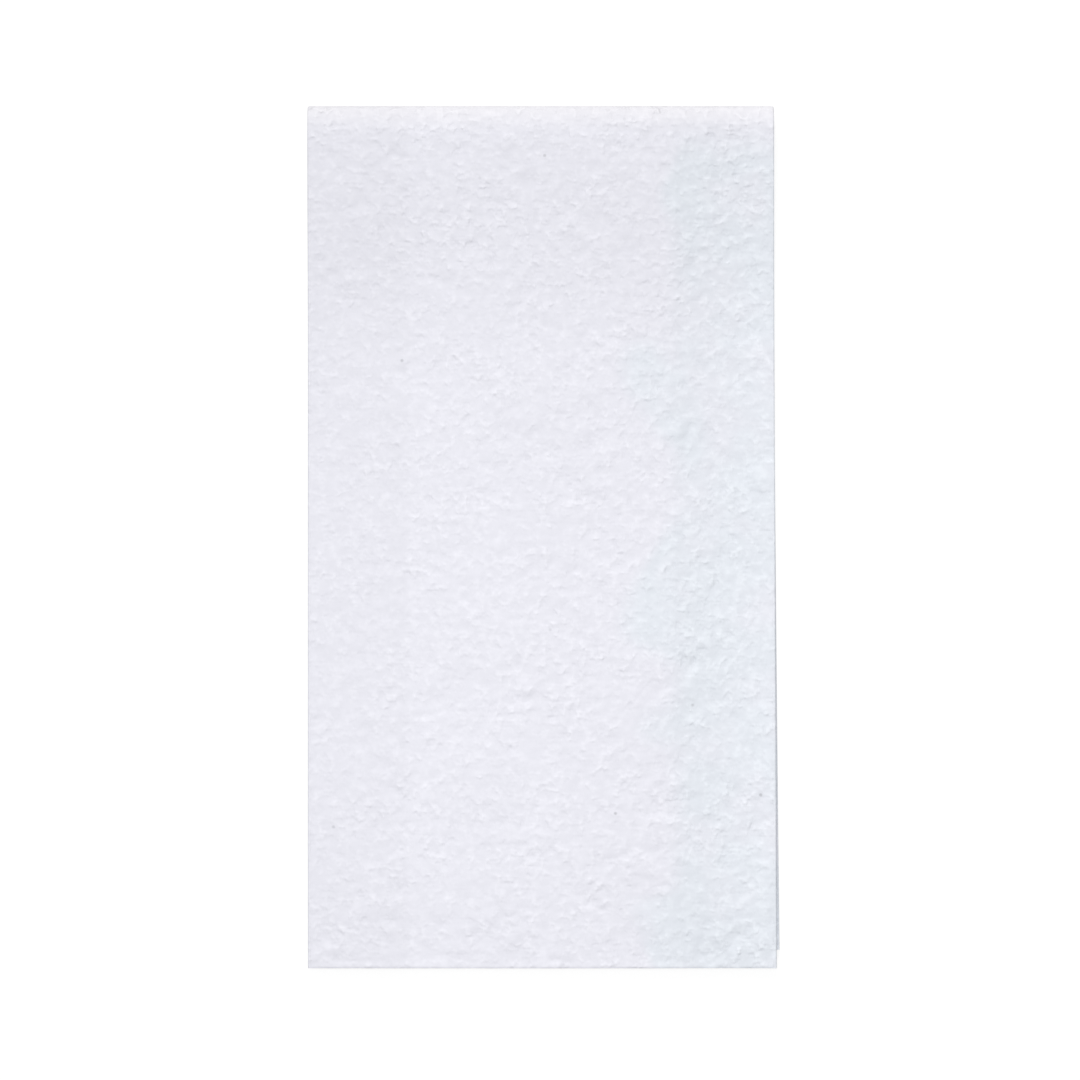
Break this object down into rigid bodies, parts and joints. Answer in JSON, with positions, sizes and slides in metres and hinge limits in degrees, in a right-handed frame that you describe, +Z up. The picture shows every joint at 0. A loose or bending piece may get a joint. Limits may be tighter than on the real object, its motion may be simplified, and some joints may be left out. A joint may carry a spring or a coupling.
{
  "type": "disposable guest towel",
  "caption": "Thick white airlaid paper hand towel, both sides folded in over each other and then folded in half, lying flat.",
  "frame": {"origin": "middle of the towel's box on the surface it rests on", "axes": "+Z up, away from the surface; +Y towards the half fold, along the panels; +X across the panels, towards the side fold of the flap that was folded last"},
  "size_m": [0.1178, 0.2156, 0.0074],
  "materials": {
    "airlaid_paper": "matt, slightly bluish white airlaid paper with a soft linen-like grain of short cross ridges and fine fibres"
  },
  "bodies": {
    "root": {"guest_towel": "airlaid_paper"}
  },
  "joints": []
}
